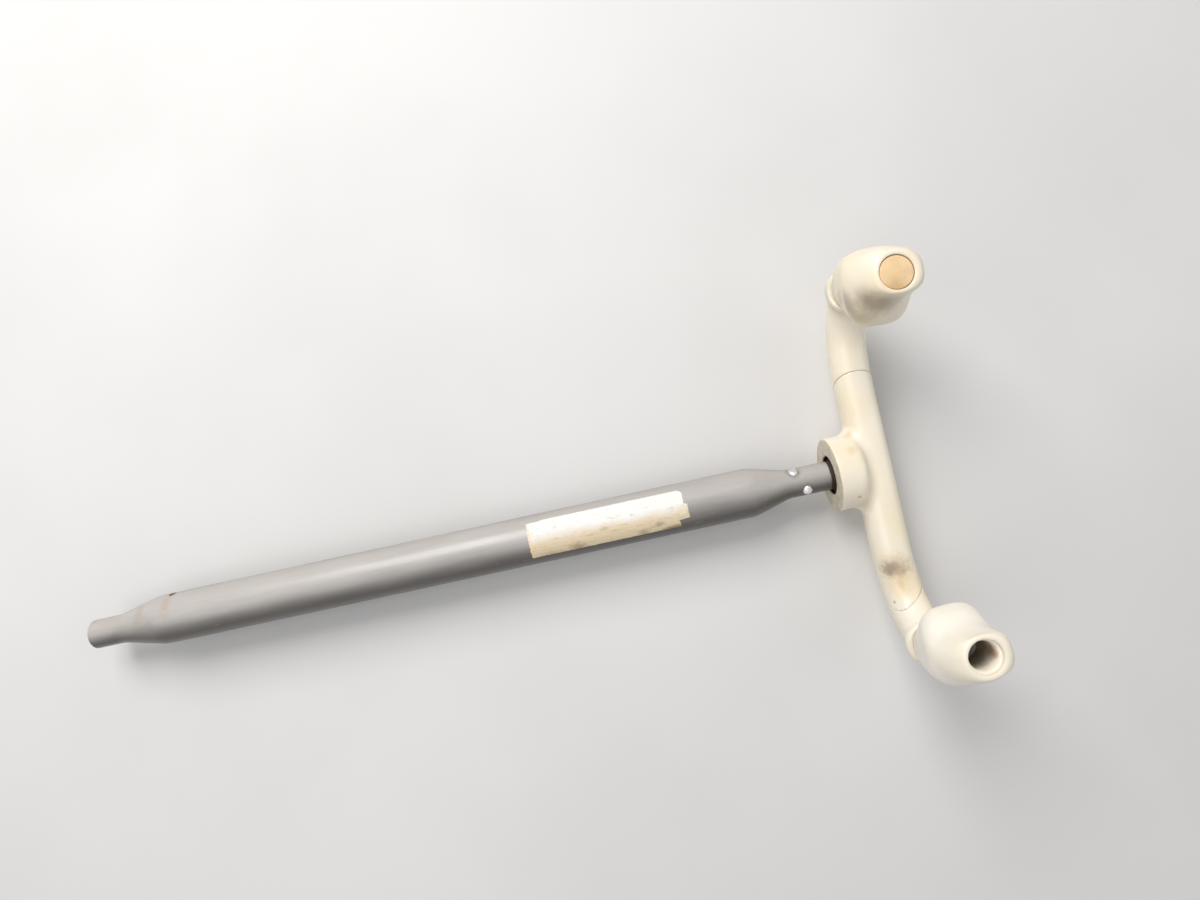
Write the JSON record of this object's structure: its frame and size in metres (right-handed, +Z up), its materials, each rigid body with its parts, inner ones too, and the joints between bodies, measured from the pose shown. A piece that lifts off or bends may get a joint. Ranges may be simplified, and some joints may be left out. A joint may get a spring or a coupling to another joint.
{
  "type": "aircraft control yoke",
  "caption": "U-shaped aircraft control wheel with horn grips and a flush talk button, on a painted column tube swaged to a thin neck at each end.",
  "frame": {"origin": "centre of the column tube's tail mouth", "axes": "the column runs along -Y from the tail mouth to the pilot, +X is the pilot's right, +Z is up along the horns"},
  "size_m": [0.3072, 0.6501, 0.1364],
  "materials": {
    "tube_paint": "satin",
    "wheel_enamel": "satin",
    "hand_plastic": "satin",
    "button_plastic": "satin",
    "bushing_brown": "matte",
    "rivet_aluminium": "bright",
    "plain_steel": "plated",
    "label_paper": "matte",
    "switch_plastic": "matte",
    "contact_brass": "bright"
  },
  "bodies": {
    "yoke": {"column_tube": "tube_paint", "neck_rivets": "rivet_aluminium", "wheel_spigot": "plain_steel", "spigot_key": "plain_steel", "hub_bushing": "bushing_brown", "hub_washer": "plain_steel", "hub_nut": "plain_steel", "hub_cap": "wheel_enamel", "wheel_casting": "wheel_enamel", "right_spar": "plain_steel", "left_spar": "plain_steel", "right_arm_sleeve": "hand_plastic", "left_arm_sleeve": "hand_plastic", "right_horn": "hand_plastic", "left_horn": "hand_plastic", "right_horn_pin": "plain_steel", "left_horn_pin": "plain_steel", "label": "label_paper", "guide_bush": "switch_plastic", "return_spring": "plain_steel", "switch_body": "switch_plastic", "switch_terminals": "contact_brass"},
    "talk_button": {"button_cap": "button_plastic", "button_plunger": "plain_steel", "contact_disc": "contact_brass"}
  },
  "joints": [
    {"name": "talk_button_press", "type": "slide", "parent": "yoke", "child": "talk_button", "axis": [0, 0, -1], "range_m": [0, 0.0015], "stiffness_N_per_m": 1000, "springref_m": -0.001, "deforming": ["return_spring"]}
  ]
}
